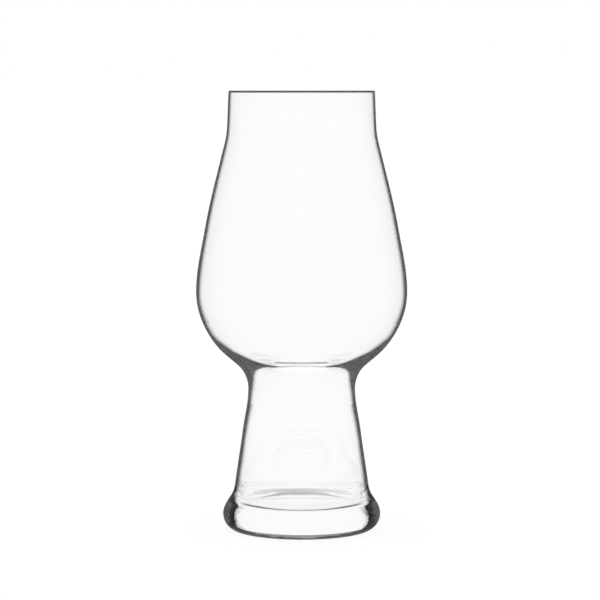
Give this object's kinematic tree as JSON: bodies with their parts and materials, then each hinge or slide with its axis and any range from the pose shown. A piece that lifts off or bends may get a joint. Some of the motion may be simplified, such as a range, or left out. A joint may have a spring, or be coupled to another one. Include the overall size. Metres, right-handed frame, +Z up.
{
  "type": "stemmed beer glass",
  "caption": "Clear stemmed beer glass: a bulb-shaped bowl with an upright collar on a hollow flaring stem and a solid round foot, for serving aromatic ale.",
  "frame": {"origin": "on the axis of the glass, in the plane of its resting ring", "axes": "+Z up along the axis of the glass; X and Y are alike, because the glass is round"},
  "size_m": [0.088, 0.088, 0.1835],
  "materials": {
    "lip_glass": "clear, fire-polished edge",
    "wall_glass": "clear, thin, glossy blown wall",
    "neck_glass": "clear, thick, glossy ring",
    "foot_glass": "clear, solid, glossy, with a faintly worn resting ring"
  },
  "bodies": {
    "root": {"rim_lip": "lip_glass", "mouth_collar": "wall_glass", "bowl_shoulder": "wall_glass", "bowl_cup": "wall_glass", "neck_ring": "neck_glass", "hollow_stem": "wall_glass", "foot": "foot_glass"}
  },
  "joints": []
}
